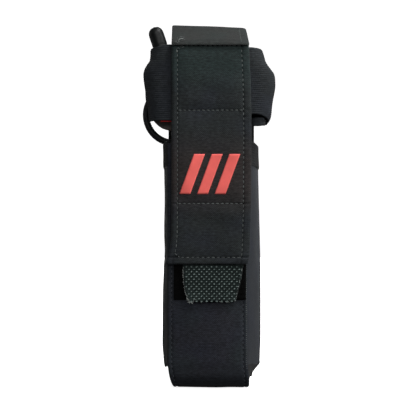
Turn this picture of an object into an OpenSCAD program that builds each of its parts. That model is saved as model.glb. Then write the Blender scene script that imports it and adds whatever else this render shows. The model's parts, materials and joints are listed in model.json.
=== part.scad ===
// Belt pouch loaded with a windlass tourniquet and trauma shears.
// Frame: +Z up, front towards -Y. The origin is the middle of the belt channel,
// on the rear face of the back panel.

/* [Pouch] */
// Width of the two-inch strap that makes the flap and the front
strap_w = 50.8; // [49:0.1:52]
// Width across the side gussets at the back
pouch_w = 63.4; // [62:0.1:66]
// Depth from the back panel's rear face to the front panel's outer face
pouch_d = 40.7; // [40.7:0.1:44]
// Height of the pocket mouth
mouth_z = 41.5; // [38:0.5:44]
// Height of the underside
base_z = -118; // [-124:1:-117]
// Width of the back panel
back_w = 58; // [54:1:60]
// Height of the back panel's top edge
back_top_z = 106; // [100:1:110]
// Radius of the wrapped front lower edge
base_r = 10; // [6:1:12]

/* [Flap] */
// Thickness of the doubled flap fabric
flap_t = 2; // [1.6:0.1:2.2]
// Height of the fold at the back
rear_fold_z = 127; // [126:0.5:134]
// Height of the fold at the front
front_fold_z = 105.5; // [105:0.5:108]
// Height of the flap's lower edge
flap_end_z = -36.3; // [-40:0.1:-32]

/* [Pull tab] */
// Width of the tab where it leaves the flap
tab_top_w = 38.2; // [34:0.1:44]
// Width of the tab's free end
tab_end_w = 29.8; // [24:0.1:34]
// Length of tab that shows below the flap
tab_len = 24; // [16:0.5:32]

/* [Elastic loop] */
// Height of the loop's webbing
elastic_h = 50; // [38:1:50]
// Height of the loop's lower edge
elastic_z = 54.5; // [52:0.5:54.5]
// Thickness of the elastic
elastic_t = 1.5; // [1:0.1:1.5]
// Left side of the loop, where a shears handle pushes it out
elastic_left = -48.5; // [-52:0.1:-48.5]
// Right side of the loop
elastic_right = 42; // [42:0.1:46]

/* [Belt strap] */
// Width of the belt strap
belt_w = 25.4; // [20:0.1:30]
// Depth of the channel between the strap and the back panel
channel_d = 4.8; // [4.6:0.1:7]
// Height of the strap's hinge line
belt_hinge_z = 61.4; // [58:0.1:62]
// Height of the snap's centre
snap_z = -60; // [-64:1:-56]

/* [Tourniquet] */
// Width of the band
band_w = 38; // [34:0.5:38]
// Length of the windlass rod
rod_len = 150; // [140:1:150]
// Diameter of the windlass rod
rod_d = 9.5; // [9:0.1:9.5]
// Lean of the windlass, with its upper end to the left
rod_lean = 18.5; // [17:0.5:19]

/* [Shears] */
// Outer radius of the large finger ring
ring_r = 21; // [20:0.1:21.2]
// Outer radius of the thumb ring
thumb_r = 20; // [18:0.1:20.2]
// Radial width of the ring's band
ring_band = 4.8; // [4:0.1:6]
// Height of the large ring's centre
ring_z = 63.7; // [62:0.1:64]
// Height of the thumb ring's centre
thumb_z = 80.6; // [79:0.1:82]
// Sideways position of the shears' centre line
shears_x = -6; // [-6.5:0.1:-5.5]

/* [Hidden] */
$fn = 64;
fabric_t = 1.6;
back_t = 2.4;
gusset_t = 1.25;
pile_t = 1;
gap = 0.3;
front_half = strap_w / 2;
panel_half = front_half - gusset_t;
back_half = pouch_w / 2;
gusset_low_z = -104;
hem_h = 16.5;
hem_t = 0.7;
binding_t = 1.4;

loop_patch_top = 34;
loop_patch_end = -59.2;
flap_y = -(pouch_d + pile_t + gap + pile_t + flap_t / 2);
hook_top = 30;
hook_end = -30;
back_strap_low = 78;
hinge_y = flap_t / 2;
hinge_gap = 2.4;
flap_slope = atan2(rear_fold_z - front_fold_z, hinge_y - flap_y);
flap_top_len = norm([rear_fold_z - front_fold_z, hinge_y - flap_y]);

mark_t = 0.15;
mark_w = 39.2;
mark_h = 25.7;
mark_low_z = 9;
mark_bars = 3;
mark_bar_w = 7;
mark_slant = 9.4;

tab_t = 1.6;
tab_y = -(pouch_d + pile_t + 0.5 + tab_t / 2);
tab_hinge_z = flap_end_z - gap - tab_t / 2;

elastic_front = -(pouch_d + 2);
belt_t = 1.8;
belt_y = channel_d + belt_t / 2;
belt_end_z = -68;

clip_x = -21.9;
clip_z = 75;
clip_half = 22.3;
clip_low = -20.9;
clip_high = 3;
clip_r = 10;
plate_back = -26.9;
plate_front = -28.9;
rod_y = plate_front - 0.15 - rod_d / 2;
rod_top = 47.4;
rod_mid = rod_top - rod_len / 2;
wall_half = 6.5;
wall_t = 2.5;
lip_y = rod_y - rod_d / 2 - 0.25;
lip_t = 1;
lip_half = 3.5;
post_r = 2.2;

layers = 5;
layer_t = 2;
layer_gap = 0.3;
band_back = -14.7;
band_low = -112;
band_high = 48;

ring_off = 19.4;
thumb_off = 18.9;
ring_back = -5.2;
ring_front = -13.2;
split_y = -9.2;
blade_t = 2.2;
pivot_z = 2;
pivot_r = 2.5;

// ---- shared shapes ----

// A 2-D outline in X and Z, given depth from y_from back to front
module front_slab(y_from, depth) {
  translate([0, y_from, 0]) rotate([90, 0, 0]) linear_extrude(depth) children();
}

// A 2-D outline in Y and Z, drawn from x_from to the right
module side_slab(x_from, width) {
  translate([x_from, 0, 0]) rotate([90, 0, 90]) linear_extrude(width) children();
}

// A box between two corners
module block(low, high) {
  translate(low) cube(high - low);
}

// A rectangle with one radius for its lower corners and one for its upper
module rounded(low, high, r_low, r_high) {
  union() {
    translate([low.x, low.y + r_low]) square([high.x - low.x, high.y - low.y - r_low - r_high]);
    translate([low.x + r_low, low.y]) square([high.x - low.x - 2 * r_low, r_low]);
    translate([low.x + r_high, high.y - r_high]) square([high.x - low.x - 2 * r_high, r_high]);
    for (x = [low.x + r_low, high.x - r_low]) translate([x, low.y + r_low]) circle(r_low);
    for (x = [low.x + r_high, high.x - r_high]) translate([x, high.y - r_high]) circle(r_high);
  }
}

// A flat strap hanging from a rounded hinge edge at the origin
module hinged_strap(width, thickness, length) {
  union() {
    translate([-width / 2, 0, 0]) rotate([0, 90, 0]) cylinder(h = width, d = thickness);
    block([-width / 2, -thickness / 2, -length], [width / 2, thickness / 2, 0]);
  }
}

// The pouch seen from the side, with its wrapped lower front edge
module pouch_side() {
  union() {
    translate([-pouch_d, base_z + base_r]) square([pouch_d, mouth_z - base_z - base_r]);
    translate([base_r - pouch_d, base_z]) square([pouch_d - base_r, base_r]);
    translate([base_r - pouch_d, base_z + base_r]) circle(base_r);
  }
}

// The tourniquet's own frame, leaning with the rod
module leaning() {
  translate([clip_x, 0, clip_z]) rotate([0, -rod_lean, 0]) children();
}

// ---- pouch ----

// Narrows at its lower end, along the line of the two bindings
module back_panel() {
  low = base_z + fabric_t;
  fall = (low - gusset_low_z) / (back_half - panel_half + 0.2);
  corner_z = gusset_low_z + fall * (back_half - back_w / 2);
  color("#17181c")
    front_slab(0, back_t)
      polygon([[-back_w / 2, back_top_z], [back_w / 2, back_top_z], [back_w / 2, corner_z],
        [panel_half, low], [-panel_half, low], [-back_w / 2, corner_z]]);
}

module back_strap() {
  color("#2a2b2e")
    block([-front_half, 0, back_strap_low], [front_half, flap_t, rear_fold_z - hinge_gap]);
}

module front_panel() {
  color("#15161c")
    block([-panel_half, -pouch_d, base_z + base_r], [panel_half, fabric_t - pouch_d, mouth_z]);
}

module base_wrap() {
  color("#15161c")
    intersection() {
      side_slab(-panel_half, 2 * panel_half)
        difference() {
          pouch_side();
          translate([fabric_t - pouch_d, base_z + base_r]) square([pouch_d, mouth_z - base_z]);
          translate([base_r - pouch_d, base_z + fabric_t]) square([pouch_d, base_r]);
          translate([base_r - pouch_d, base_z + base_r]) circle(base_r - fabric_t);
        }
      block([-panel_half, -pouch_d, base_z], [panel_half, 0, base_z + base_r]);
    }
}

// The right gusset in plan: a slanted wall with a seam flange at the back panel
module gusset_plan() {
  polygon([
    [panel_half, -pouch_d], [front_half, -pouch_d], [back_half, -back_t], [back_half, 0],
    [back_w / 2, 0], [back_w / 2, -back_t], [back_half - gusset_t, -back_t]
  ]);
}

// Everything above the line where the lower binding closes the gusset
module above_binding(lift) {
  polygon([
    [0, mouth_z], [back_half + 5, mouth_z], [back_half + 5, gusset_low_z + lift + 7],
    [back_half, gusset_low_z + lift], [panel_half - 0.2, base_z + fabric_t + lift],
    [0, base_z + fabric_t + lift]
  ]);
}

module gusset() {
  intersection() {
    translate([0, 0, base_z]) linear_extrude(mouth_z - base_z) gusset_plan();
    front_slab(0, pouch_d) above_binding(binding_t);
    side_slab(0, back_half + 5) pouch_side();
  }
}

module gusset_right() { color("#22252c") gusset(); }
module gusset_left() { color("#121216") mirror([1, 0, 0]) gusset(); }

// Bound top edge, folded over the outside of the gusset
module hem() {
  translate([0, 0, mouth_z - hem_h]) linear_extrude(hem_h)
    polygon([
      [front_half, -pouch_d], [front_half + hem_t, -pouch_d],
      [back_half + hem_t, -back_t], [back_half + hem_t, 0], [back_half, 0], [back_half, -back_t]
    ]);
}

module hem_right() { color("#0f1013") hem(); }
module hem_left() { color("#0c0c0f") mirror([1, 0, 0]) hem(); }

// Slanting strip that closes the gusset's lower end
module binding() {
  intersection() {
    difference() {
      front_slab(0, pouch_d) above_binding(0);
      front_slab(1, pouch_d + 2) above_binding(binding_t);
    }
    translate([0, 0, base_z]) linear_extrude(mouth_z - base_z)
      polygon([[panel_half, -pouch_d], [front_half, -pouch_d], [back_half, -back_t],
        [back_half, 0], [back_w / 2, 0], [back_w / 2, -back_t], [panel_half, -back_t]]);
    side_slab(0, back_half + 5) pouch_side();
  }
}

module binding_right() { color("#0b0b0d") binding(); }
module binding_left() { color("#0b0b0d") mirror([1, 0, 0]) binding(); }

module elastic_loop() {
  front_r = 9.5;
  rear_r = 2.5;
  color("#23262b")
    translate([0, 0, elastic_z]) linear_extrude(elastic_h)
      difference() {
        rounded([elastic_left, elastic_front], [elastic_right, -back_t], front_r, rear_r);
        rounded([elastic_left + elastic_t, elastic_front + elastic_t],
          [elastic_right - elastic_t, -back_t - elastic_t],
          front_r - elastic_t, rear_r - elastic_t);
      }
}

module loop_patch() {
  color("#08080a")
    block([-panel_half, -pouch_d - pile_t, loop_patch_end], [panel_half, -pouch_d, loop_patch_top]);
}

// ---- belt strap ----

// The sewn upper end, stepping out from the back panel to the channel's depth
module belt_anchor() {
  low = belt_hinge_z + 1.4;
  color("#1a1a1c")
    side_slab(-belt_w / 2, belt_w)
      polygon([[0, low + 13], [belt_t, low + 13], [belt_t, low + 7], [channel_d + belt_t, low + 2],
        [channel_d + belt_t, low], [channel_d, low], [0, low + 5]]);
}

module snap_stud() {
  color("#3a3a3c")
    translate([0, 0, snap_z]) rotate([-90, 0, 0])
      union() {
        cylinder(h = 1, r = 6);
        cylinder(h = channel_d - 0.4, r = 3);
      }
}

module belt_strap() {
  color("#1a1a1c")
    translate([0, belt_y, belt_hinge_z]) hinged_strap(belt_w, belt_t, belt_hinge_z - belt_end_z);
}

module snap_socket() {
  color("#3a3a3c")
    translate([0, 1.4, snap_z]) rotate([-90, 0, 0])
      difference() {
        cylinder(h = channel_d - 1.4, r = 6);
        translate([0, 0, -1]) cylinder(h = channel_d + 2, r = 3.3);
      }
}

module snap_cap() {
  color("#0c0c0d")
    translate([0, channel_d + belt_t, snap_z]) rotate([-90, 0, 0])
      union() {
        cylinder(h = 0.8, r = 6.8);
        translate([0, 0, 0.8]) cylinder(h = 1, r1 = 6.8, r2 = 4.6);
      }
}

// ---- flap ----

module flap_top() {
  color("#35373a")
    translate([0, hinge_y, rear_fold_z]) rotate([-(90 - flap_slope), 0, 0])
      hinged_strap(strap_w, flap_t, flap_top_len - flap_t / 2 - 0.2);
}

module flap_front() {
  color("#1b1d24")
    translate([0, flap_y, front_fold_z]) hinged_strap(strap_w, flap_t, front_fold_z - flap_end_z);
}

module hook_patch() {
  half = strap_w / 2 - 3.5;
  y = flap_y + flap_t / 2;
  color("#0a0a0c") block([-half, y, hook_end], [half, y + pile_t, hook_top]);
}

// Plain slanting bars printed on the flap
module printed_mark() {
  pitch = (mark_w - mark_slant - mark_bar_w) / (mark_bars - 1);
  color("#ff6e69")
    front_slab(flap_y - flap_t / 2, mark_t)
      translate([-mark_w / 2 - 1, mark_low_z])
        for (i = [0 : mark_bars - 1]) translate([i * pitch, 0])
          polygon([[0, 0], [mark_bar_w, 0], [mark_bar_w + mark_slant, mark_h], [mark_slant, mark_h]]);
}

module pull_tab() {
  color("#3a3d40")
    translate([0, tab_y, tab_hinge_z])
      union() {
        translate([-tab_top_w / 2, 0, 0]) rotate([0, 90, 0]) cylinder(h = tab_top_w, d = tab_t);
        front_slab(tab_t / 2, tab_t)
          polygon([[-tab_top_w / 2, 0], [tab_top_w / 2, 0],
            [tab_end_w / 2, 1 - tab_len], [-tab_end_w / 2, 1 - tab_len]]);
      }
}

// ---- tourniquet ----

// One run of the folded band, and the bend that joins it to the next
module band_layer(i) {
  y = band_back - i * (layer_t + layer_gap);
  bend_r = layer_t + layer_gap / 2;
  low = band_low + bend_r;
  high = band_high - bend_r;
  union() {
    block([-band_w / 2, y - layer_t, low], [band_w / 2, y, high]);
    if (i < layers - 1) {
      z = i % 2 == 0 ? low : high;
      side_slab(-band_w / 2, band_w)
        intersection() {
          translate([y - bend_r, z])
            difference() {
              circle(bend_r);
              circle(layer_gap / 2);
            }
          translate([y - 2 * bend_r, i % 2 == 0 ? z - bend_r : z])
            square([2 * bend_r, bend_r]);
        }
    }
  }
}

module folded_band() {
  color("#131315") union() for (i = [0 : layers - 1]) band_layer(i);
}

module stabilizer_plate() {
  color("#1a1a1b")
    leaning()
      difference() {
        front_slab(plate_back, plate_back - plate_front) rounded([-13, -75], [19, clip_low - 0.2], 5, 3);
        translate([0, 0, rod_mid]) rotate([90, 0, 0]) cylinder(h = 60, r = post_r + 0.2);
      }
}

// Open-topped channel that catches the end of the rod
module windlass_clip() {
  wall_low = -18;
  wall_high = 1;
  color("#4a4440")
    leaning()
      union() {
        front_slab(plate_back, plate_back - plate_front)
          rounded([-clip_half, clip_low], [clip_half, clip_high], clip_r, clip_r);
        for (side = [0, 1]) mirror([side, 0, 0]) {
          block([wall_half, lip_y - lip_t, wall_low], [wall_half + wall_t, plate_front, wall_high]);
          block([lip_half, lip_y - lip_t, wall_low], [wall_half + wall_t, lip_y, wall_high]);
        }
      }
}

// Inner strap under the plate, and its twisted loop that passes through the rod
module inner_strap() {
  strip_t = 0.5;
  color("#26262a")
    leaning()
      union() {
        block([-10, plate_back, -72], [10, plate_back + strip_t, -22.5]);
        translate([0, plate_back, rod_mid]) rotate([90, 0, 0])
          cylinder(h = plate_back - rod_y + rod_d / 2 - 0.4, r = post_r);
      }
}

module band_buckle() {
  half = 21.5;
  mid = -62;
  color("#101011")
    difference() {
      front_slab(-26.6, 5.5) rounded([-half, mid - 14], [half, mid + 14], 4, 4);
      for (z = [-8, 4.4]) block([-19.5, -40, mid + z], [19.5, -20, mid + z + 3.6]);
    }
}

module time_strap() {
  color("#8c8c8c")
    leaning() block([-20, lip_y - lip_t - 0.5, -16], [20, lip_y - lip_t - 0.05, 0]);
}

module red_tip() {
  color("#c02020") block([-35, -41.05, 56.3], [-4, -40.5, 78]);
}

module windlass_rod() {
  half = rod_len / 2 - rod_d / 2;
  color("#202022")
    leaning()
      difference() {
        translate([0, rod_y, rod_mid])
          union() {
            translate([0, 0, -half]) cylinder(h = 2 * half, d = rod_d);
            for (z = [-half, half]) translate([0, 0, z]) sphere(d = rod_d);
          }
        translate([0, 0, rod_mid]) rotate([90, 0, 0]) cylinder(h = 60, r = post_r + 0.4);
      }
}

// ---- shears ----

// Ring about centre, with a shank that starts at y = front and is depth deep
module handle(centre, r, shank, front, depth) {
  union() {
    translate([centre[0], ring_back, centre[1]]) rotate([90, 0, 0])
      difference() {
        cylinder(h = ring_back - ring_front, r = r);
        translate([0, 0, -1]) cylinder(h = 20, r = r - ring_band);
      }
    difference() {
      front_slab(front, depth) polygon(shank);
      translate([centre[0], 0, centre[1]]) rotate([90, 0, 0]) cylinder(h = 20, r = r - ring_band);
    }
  }
}

// Blade from its root, above the screw, to the tip
module blade(hole_r) {
  difference() {
    polygon([[-5, 12], [4.5, 12], [6, -8], [4, -60], [1, -90], [-4, -90], [-5.5, -60], [-6, -8]]);
    translate([0, pivot_z]) circle(hole_r);
  }
}

module shears_handle() {
  color("#0e0e10")
    translate([shears_x, 0, 0])
      handle([-ring_off, ring_z], ring_r,
        [[-ring_off + 2, ring_z - 18.9], [-ring_off + 18.9, ring_z - 6], [3.4, 12.2], [-4, 12.2]],
        split_y - 0.1, split_y - 0.1 - ring_front);
}

module shears_blade() {
  color("#7d8084")
    translate([shears_x, 0, 0]) front_slab(split_y - 0.1, blade_t) blade(pivot_r);
}

module shears_moving_handle() {
  color("#0e0e10")
    translate([shears_x, 0, 0])
      handle([thumb_off, thumb_z], thumb_r,
        [[thumb_off - 13, thumb_z - 13], [thumb_off + 3, thumb_z - 18.5], [4, 12.2], [-3.4, 12.2]],
        ring_back, ring_back - split_y - 0.1);
}

module shears_moving_blade() {
  color("#7d8084")
    translate([shears_x, 0, 0]) mirror([1, 0, 0])
      front_slab(split_y + 0.1 + blade_t, blade_t) blade(pivot_r + 0.08);
}

module shears_screw() {
  front = split_y - 0.1 - blade_t;
  back = split_y + 0.1 + blade_t;
  color("#a8abad")
    translate([shears_x, 0, pivot_z]) rotate([90, 0, 0])
      union() {
        translate([0, 0, -back - 0.1]) cylinder(h = back - front + 0.1, r = pivot_r);
        translate([0, 0, -front]) cylinder(h = 1.3, r = 4.4);
        translate([0, 0, -back - 1.4]) cylinder(h = 1.3, r = 4);
      }
}

back_panel();
back_strap();
front_panel();
base_wrap();
gusset_left();
gusset_right();
hem_left();
hem_right();
binding_left();
binding_right();
elastic_loop();
loop_patch();
belt_anchor();
snap_stud();
belt_strap();
snap_socket();
snap_cap();
flap_top();
flap_front();
hook_patch();
printed_mark();
pull_tab();
folded_band();
stabilizer_plate();
windlass_clip();
inner_strap();
band_buckle();
time_strap();
red_tip();
windlass_rod();
shears_blade();
shears_handle();
shears_screw();
shears_moving_blade();
shears_moving_handle();
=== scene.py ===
import json
import math
import random

import bmesh
import bpy
import numpy as np
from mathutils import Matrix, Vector


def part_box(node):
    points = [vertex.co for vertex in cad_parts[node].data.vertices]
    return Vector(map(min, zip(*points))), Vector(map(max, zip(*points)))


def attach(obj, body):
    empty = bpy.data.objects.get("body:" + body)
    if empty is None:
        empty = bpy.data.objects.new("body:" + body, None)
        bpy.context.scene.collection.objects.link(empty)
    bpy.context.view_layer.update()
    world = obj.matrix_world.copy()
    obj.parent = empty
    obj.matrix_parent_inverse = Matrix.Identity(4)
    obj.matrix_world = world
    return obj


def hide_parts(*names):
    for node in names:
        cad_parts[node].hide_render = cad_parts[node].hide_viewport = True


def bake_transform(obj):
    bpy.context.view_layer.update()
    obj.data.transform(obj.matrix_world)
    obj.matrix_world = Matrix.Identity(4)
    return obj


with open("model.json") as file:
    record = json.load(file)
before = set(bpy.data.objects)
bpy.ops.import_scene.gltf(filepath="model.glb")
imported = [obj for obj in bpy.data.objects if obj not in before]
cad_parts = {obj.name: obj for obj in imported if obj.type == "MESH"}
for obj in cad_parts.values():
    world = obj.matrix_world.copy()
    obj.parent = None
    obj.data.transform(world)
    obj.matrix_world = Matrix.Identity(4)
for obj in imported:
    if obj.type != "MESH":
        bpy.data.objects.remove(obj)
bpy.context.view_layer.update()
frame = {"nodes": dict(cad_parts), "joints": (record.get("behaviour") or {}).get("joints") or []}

random.seed(11)
MM = 0.001
STITCH_PITCH = 3.1
JOINTS = {j["name"]: j for j in frame["joints"]}


def node_box(name):
    """Lowest and highest corner of a CAD node, in millimetres."""
    low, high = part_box(name)
    return np.array(low) / MM, np.array(high) / MM


def middle_y(name):
    """Y halfway through a CAD node's depth, in millimetres."""
    low, high = node_box(name)
    return (low[1] + high[1]) / 2


def pivot(name):
    """A hinge's place in the row frame, in millimetres."""
    return np.array(JOINTS[name]["pos_m"]) / MM


REAR_FOLD = pivot("flap_lift")
FRONT_FOLD = pivot("flap_peel")
TAB_HINGE = pivot("tab_bend")
BELT_HINGE = pivot("belt_strap_swing")
ROD_PIVOT = pivot("windlass_turn")
FLAP_LOW = node_box("flap_front")[0]
PANEL_LOW, PANEL_HIGH = node_box("front_panel")
BASE_Z = node_box("base_wrap")[0][2]
MOUTH_Z = PANEL_HIGH[2]
ROD_LEAN = math.radians(18.5)

# ---------------------------------------------------------------- materials


class Nodes:
    """A material being built: each call adds a node and returns its output."""

    def __init__(self, name):
        self.material = bpy.data.materials.new(name)
        self.material.use_nodes = True
        self.tree = self.material.node_tree
        self.shader = self.tree.nodes["Principled BSDF"]

    def add(self, kind, out=0, values=(), **settings):
        node = self.tree.nodes.new(kind)
        for key, value in settings.items():
            setattr(node, key, value)
        for socket, value in dict(values).items():
            if isinstance(value, bpy.types.NodeSocket):
                self.tree.links.new(value, node.inputs[socket])
            else:
                node.inputs[socket].default_value = value
        return node.outputs[out]

    def math(self, operation, a, b=0.0):
        return self.add("ShaderNodeMath", values={0: a, 1: b}, operation=operation)

    def mix(self, factor, a, b):
        values = {0: factor, 6: a, 7: b}
        return self.add("ShaderNodeMix", out=2, values=values, data_type="RGBA")

    def noise(self, vector, scale, detail=2.0, rough=0.5):
        values = {"Vector": vector, "Scale": scale, "Detail": detail, "Roughness": rough}
        return self.add("ShaderNodeTexNoise", values=values)

    def ramp(self, value, low, high):
        values = {0: value, 1: low, 2: high, 3: 0.0, 4: 1.0}
        return self.add("ShaderNodeMapRange", values=values)

    def finish(self, color, rough, height=None, strength=0.3, distance=0.0002, **direct):
        links, shader = self.tree.links, self.shader
        links.new(color, shader.inputs["Base Color"])
        if isinstance(rough, bpy.types.NodeSocket):
            links.new(rough, shader.inputs["Roughness"])
        else:
            shader.inputs["Roughness"].default_value = rough
        if height is not None:
            values = {"Strength": strength, "Distance": distance, "Height": height}
            links.new(self.add("ShaderNodeBump", values=values), shader.inputs["Normal"])
        for name, value in direct.items():
            shader.inputs[name.replace("_", " ")].default_value = value
        return self.material


def shade(color, times):
    return tuple(min(1.0, c * times) for c in color[:3]) + (1.0,)


def woven(name, color, pitch, tints=(), zones=(), depth=0.35, sheen=0.04, rough=0.78, warp=1.0,
          contrast=0.45, mottle=0.5):
    """Plain weave of threads pitch millimetres apart, with lint, slubs and broad tints.
    Each zone is a place along the cloth, its reach and its tint; the flap's zones are colours of the cloth,
    the pocket's zone is painted shade. UV maps are in millimetres."""
    n = Nodes(name)
    uv = n.add("ShaderNodeUVMap", uv_map="weave")
    split = n.tree.nodes.new("ShaderNodeSeparateXYZ")
    n.tree.links.new(uv, split.inputs[0])
    across = n.math("SINE", n.math("MULTIPLY", split.outputs[0], math.pi / pitch))
    along = n.math("SINE", n.math("MULTIPLY", split.outputs[1], math.pi / (pitch * warp)))
    cross = n.math("MULTIPLY", across, along)
    slub = n.noise(uv, 1.3, 3.0, 0.65)
    height = n.math("ADD", n.math("MULTIPLY", cross, 0.5), n.math("MULTIPLY", slub, 1.4))
    thread = n.mix(n.ramp(cross, -0.8, 0.9), shade(color, 1 - contrast), shade(color, 1 + contrast))
    lint = n.ramp(n.noise(uv, 0.9, 5.0, 0.75), 0.58, 0.8)
    result = n.mix(n.math("MULTIPLY", lint, 0.35), thread, shade(color, 2.8))
    for i, tint in enumerate(tints):
        where = n.add("ShaderNodeVectorMath", values={0: uv, 1: (37.0 * i + 5, 91.0 * i, 0)}, operation="ADD")
        patch = n.ramp(n.noise(where, 0.035, 1.5, 0.5), 0.42, 0.62)
        result = n.mix(n.math("MULTIPLY", patch, 0.5), result, n.mix(0.5, thread, tint + (1.0,)))
    for place, reach, tint in zones:
        far = n.math("ABSOLUTE", n.math("SUBTRACT", split.outputs[1], place))
        share = n.ramp(far, reach, reach * 0.3)
        result = n.mix(n.math("MULTIPLY", share, 0.8), result, n.mix(0.4, tint + (1.0,), thread))
    drawn = n.add("ShaderNodeVectorMath", values={0: uv, 1: (0.42, 1.25, 1.0)}, operation="MULTIPLY")
    grain = n.ramp(n.noise(drawn, 0.8, 4.0, 0.75), 0.34, 0.66)
    low, high = (1 - mottle,) * 3 + (1.0,), (1 + mottle,) * 3 + (1.0,)
    values = {0: 1.0, 6: result, 7: n.mix(grain, low, high)}
    result = n.add("ShaderNodeMix", out=2, values=values, data_type="RGBA", blend_type="MULTIPLY")
    worn = n.ramp(n.noise(uv, 0.12, 4.0, 0.6), 0.3, 0.75)
    roughness = n.math("ADD", n.math("MULTIPLY", worn, 0.12), rough - 0.06)
    return n.finish(result, roughness, height, depth, 0.00025, Sheen_Weight=sheen, Sheen_Roughness=0.5,
                    Specular_IOR_Level=0.16)


def pile(name, color, scale, depth):
    """Fuzzy hook or loop pile."""
    n = Nodes(name)
    uv = n.add("ShaderNodeUVMap", uv_map="weave")
    cells = n.add("ShaderNodeTexVoronoi", values={"Vector": uv, "Scale": scale, "Randomness": 0.8})
    fuzz = n.noise(uv, scale * 2.4, 4.0, 0.7)
    height = n.math("ADD", fuzz, n.math("MULTIPLY", cells, -0.8))
    result = n.mix(n.ramp(fuzz, 0.45, 0.75), shade(color, 0.5), shade(color, 2.0))
    return n.finish(result, 0.95, height, depth, 0.0006, Sheen_Weight=0.01, Specular_IOR_Level=0.05)


def moulded(name, color, rough, grain=0.15, coat=0.0, specular=0.5):
    """Moulded plastic or painted metal, with fine grain, handling marks and worn edges."""
    n = Nodes(name)
    place = n.add("ShaderNodeTexCoord", out=3)
    fine = n.noise(place, 1800.0, 3.0, 0.6)
    marks = n.ramp(n.noise(place, 90.0, 4.0, 0.65), 0.35, 0.75)
    geometry = n.add("ShaderNodeNewGeometry", out=7)
    edge = n.math("MULTIPLY", n.ramp(geometry, 0.52, 0.62), marks)
    result = n.mix(marks, shade(color, 0.8), shade(color, 1.25))
    result = n.mix(n.math("MULTIPLY", edge, 0.5), result, shade(color, 3.0))
    roughness = n.math("ADD", n.math("MULTIPLY", marks, 0.14), rough - 0.06)
    return n.finish(result, roughness, fine, grain, 0.0001, Coat_Weight=coat, Coat_Roughness=0.12,
                    Specular_IOR_Level=specular)


def brushed(name, color):
    """Steel with fine lines along its length."""
    n = Nodes(name)
    place = n.add("ShaderNodeTexCoord", out=3)
    values = {0: place, 1: (2600.0, 2600.0, 60.0)}
    stretched = n.add("ShaderNodeVectorMath", values=values, operation="MULTIPLY")
    lines = n.noise(stretched, 1.0, 3.0, 0.6)
    result = n.mix(lines, shade(color, 0.75), shade(color, 1.15))
    roughness = n.math("ADD", n.math("MULTIPLY", lines, 0.2), 0.22)
    return n.finish(result, roughness, lines, 0.15, 0.00005, Metallic=1.0)


def printed(name, color):
    """Ink on cloth, thin enough for the weave to show."""
    n = Nodes(name)
    uv = n.add("ShaderNodeUVMap", uv_map="weave")
    grain = n.noise(uv, 1.6, 3.0, 0.6)
    broad = n.ramp(n.noise(uv, 0.12, 2.0, 0.5), 0.3, 0.7)
    result = n.mix(broad, shade(color, 0.93), shade(color, 1.05))
    result = n.mix(n.ramp(grain, 0.62, 0.85), result, shade(color, 0.7))
    return n.finish(result, 0.7, grain, 0.25, 0.0001, Specular_IOR_Level=0.15)


GREEN, WARM, BLUE = (0.017, 0.034, 0.031), (0.034, 0.022, 0.020), (0.017, 0.020, 0.036)
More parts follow.
